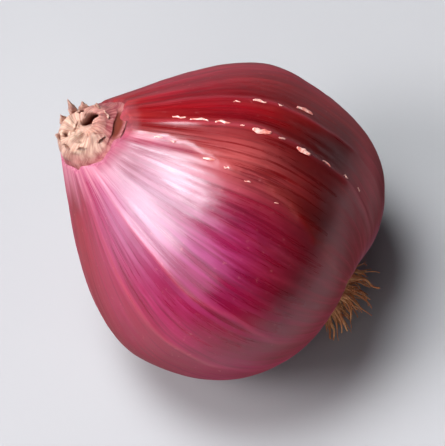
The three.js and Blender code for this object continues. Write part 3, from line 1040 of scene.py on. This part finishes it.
def make_neck(material):
    """The withered neck: a puckered knob with a few dark holes and shreds on its rim."""
    points, colours = knob_surface()
    closed, faces = closed_tube(points)
    parts, faces = [closed], flipped(faces)
    values = {name: [end_values(value)] for name, value in colours.items()}
    size = 2 * SHRED_ROWS * SHRED_COLUMNS
    for index, shred in enumerate(NECK_SHREDS):
        sides = [side.reshape(-1, 3) for side in neck_shred(*shred, index)]
        parts += sides
        faces += thin_sheet_faces(SHRED_ROWS, SHRED_COLUMNS, len(closed) + index * size)
        values["depth"].append(np.full(size, SHRED_DEPTH))
        values["pinkness"].append(np.full(size, SHRED_PINKNESS))
        values["grain"] += [sides[0] * np.array(SHRED_GRAIN)] * 2
    everything = lay_down(np.concatenate(parts))
    piece = make_object("neck_knob", everything, faces, material, "dried_neck")
    for name, value in values.items():
        store(piece, name, np.concatenate(value))


# The basal disc and its roots

ROOT_CLEARANCE = 0.3
THICK_ROOTS = dict(count=34, length=(2.2, 4.2), thickness=0.24)
THIN_ROOTS = dict(count=62, length=(2.2, 4.6), thickness=0.13)
ROOT_STEPS = 22
ROOT_SIDES = 6
ROOT_SPREAD = math.radians(44)
ROOT_SEED = 17
DISC_SIDES = 96
# The disc's outline: shares of its radius, and heights
DISC_PROFILE = ((0.98, 0.5), (1.0, 0.1), (1.0, -0.5), (0.97, -0.85),
                (0.86, -1.05), (0.6, -1.2), (0.3, -1.28))
DISC_RAGGEDNESS = 0.05
DISC_BUMPS = 0.12
DISC_TIPNESS = 0.25


def root_line(rng, length):
    """The centre line of one root that droops, curls and bends along the ground, and its turn."""
    turn = rng.uniform(0, 2 * math.pi)
    place = math.sqrt(rng.uniform(0, 1))
    spread = ROOT_SPREAD * place * rng.uniform(0.5, 1)
    outward = np.array([math.cos(turn), math.sin(turn), 0])
    sideways = np.array([-math.sin(turn), math.cos(turn), 0])
    foot = np.array(DISC_PLACE) + 0.86 * DISC_RADIUS * place * outward
    foot[2] += -DISC_THICKNESS + 0.5
    heading = outward * math.sin(spread)
    heading[2] = -math.cos(spread)
    full_length = 0.5 + rng.uniform(*length)
    share = np.linspace(0, 1, ROOT_STEPS)[:, None]
    wave = rng.uniform(2, 6)
    curl = rng.uniform(0.2, 0.6) * np.sin(rng.uniform(0, 6) + wave * share) * share
    wobble = rng.uniform(0.1, 0.4) * np.sin(rng.uniform(0, 6) + 1.7 * wave * share) * share
    line = foot + heading * full_length * share + sideways * curl + outward * wobble
    line[:, 0] -= rng.uniform(0.8, 1.6) * share[:, 0] ** 2
    lowest = (ROOT_CLEARANCE - BULB_CENTRE[2] - line[:, 2] * math.sin(NECK_RAISE)) / math.cos(NECK_RAISE)
    line[:, 0] = np.maximum(line[:, 0], lowest)
    return line, turn


def root_hair(rng, length, thickness):
    """The centre line and radii of one knobbly root."""
    line, turn = root_line(rng, length)
    share = np.linspace(0, 1, ROOT_STEPS)
    radius = thickness * mix(1, 0.35, share) * rng.uniform(0.8, 1.15)
    return line, radius * (1 + 0.12 * np.sin(share * 40 + turn))


def tube_rows(line, radius, sides):
    ahead = np.gradient(line, axis=0)
    ahead /= np.linalg.norm(ahead, axis=1, keepdims=True)
    first = np.cross(ahead, np.array([0.3, 0.5, 0.8]))
    first /= np.linalg.norm(first, axis=1, keepdims=True)
    second = np.cross(ahead, first)
    turn = (np.arange(sides) * 2 * math.pi / sides)[None, :, None]
    rings = first[:, None, :] * np.cos(turn) + second[:, None, :] * np.sin(turn)
    return line[:, None, :] + rings * radius[:, None, None]


def disc_rows():
    """Rings of the rough basal disc, from its seat in the skin to its middle."""
    turn = np.arange(DISC_SIDES) / DISC_SIDES
    angle = turn * 2 * math.pi
    rows = []
    for wide, height in DISC_PROFILE:
        along = np.full(DISC_SIDES, (height + 2) / 3)
        radius = wide * DISC_RADIUS * (1 + DISC_RAGGEDNESS * lattice_noise(turn, along, "disc_outline"))
        bumps = DISC_BUMPS * lattice_noise(turn, np.full(DISC_SIDES, wide), "disc_bumps")
        ring = np.stack([radius * np.cos(angle), radius * np.sin(angle), height + bumps], axis=-1)
        rows.append(ring + np.array(DISC_PLACE))
    return np.array(rows)


def make_roots(material):
    """The rough basal disc and the roots that grow from it, as one piece."""
    rng = np.random.default_rng(ROOT_SEED)
    points, faces = closed_tube(disc_rows())
    parts, all_faces = [points], flipped(faces)
    tips = [np.full(len(points), DISC_TIPNESS)]
    offset = len(points)
    along = np.repeat(np.linspace(0, 1, ROOT_STEPS), ROOT_SIDES)
    for kind in [THICK_ROOTS] * THICK_ROOTS["count"] + [THIN_ROOTS] * THIN_ROOTS["count"]:
        line, radius = root_hair(rng, kind["length"], kind["thickness"])
        tube, faces = closed_tube(tube_rows(line, radius, ROOT_SIDES))
        parts.append(tube)
        all_faces += [[corner + offset for corner in face] for face in faces]
        tips.append(np.concatenate([along * rng.uniform(0.3, 1.0), [0, 1]]))
        offset += len(tube)
    everything = lay_down(np.concatenate(parts))
    piece = make_object("root_hairs", everything, all_faces, material, "root_tuft")
    store(piece, "tipness", np.concatenate(tips))


# Floor, camera and light

def make_floor(material):
    mesh = bpy.data.meshes.new("floor")
    corners = [(x * FLOOR_HALF, y * FLOOR_HALF, 0) for x, y in ((-1, -1), (1, -1), (1, 1), (-1, 1))]
    mesh.from_pydata(corners, [], [(0, 1, 2, 3)])
    mesh.materials.append(material)
    floor = bpy.data.objects.new("floor", mesh)
    bpy.context.collection.objects.link(floor)


def view_axes():
    """The camera's right, up and backward directions."""
    sine, cosine = math.sin(VIEW_AZIMUTH), math.cos(VIEW_AZIMUTH)
    level, rise = math.cos(VIEW_ELEVATION), math.sin(VIEW_ELEVATION)
    right = Vector((cosine, sine, 0))
    up = Vector((-sine * rise, cosine * rise, level))
    back = Vector((sine * level, -cosine * level, rise))
    return right, up, back


def make_camera():
    right, up, back = view_axes()
    target = (Vector(BULB_CENTRE.tolist()) + right * VIEW_RIGHT + up * VIEW_UP) * MM
    data = bpy.data.cameras.new("camera")
    data.sensor_width = SENSOR_WIDTH
    data.lens = SENSOR_WIDTH * VIEW_DISTANCE / VIEW_WIDTH
    data.clip_start, data.clip_end = VIEW_CLIP
    camera = bpy.data.objects.new("camera", data)
    bpy.context.collection.objects.link(camera)
    camera.location = target + back * VIEW_DISTANCE
    camera.rotation_euler = back.to_track_quat("Z", "Y").to_euler()
    bpy.context.scene.camera = camera


def make_light(name, toward, distance, size, spread, power, colour):
    """A round soft light that faces the bulb."""
    right, up, back = view_axes()
    direction = (right * toward[0] + up * toward[1] + back * toward[2]).normalized()
    data = bpy.data.lights.new(name, "AREA")
    data.shape = "ELLIPSE"
    data.size, data.size_y = size
    data.spread = math.radians(spread)
    data.energy = power
    data.color = colour
    light = bpy.data.objects.new(name, data)
    bpy.context.collection.objects.link(light)
    light.location = Vector((BULB_CENTRE * MM).tolist()) + direction * distance
    light.rotation_euler = direction.to_track_quat("Z", "Y").to_euler()


def make_world():
    world = bpy.data.worlds.new("studio")
    world.use_nodes = True
    background = world.node_tree.nodes["Background"]
    background.inputs["Color"].default_value = SKY_COLOUR
    background.inputs["Strength"].default_value = SKY_STRENGTH
    bpy.context.scene.world = world


make_camera()
make_world()
for light_name, light_values in LIGHTS.items():
    make_light(light_name, **light_values)
make_floor(floor_material())
make_bulb(skin_material())
make_neck(paper_material())
make_roots(root_material())
bpy.context.scene.view_settings.view_transform = "Standard"
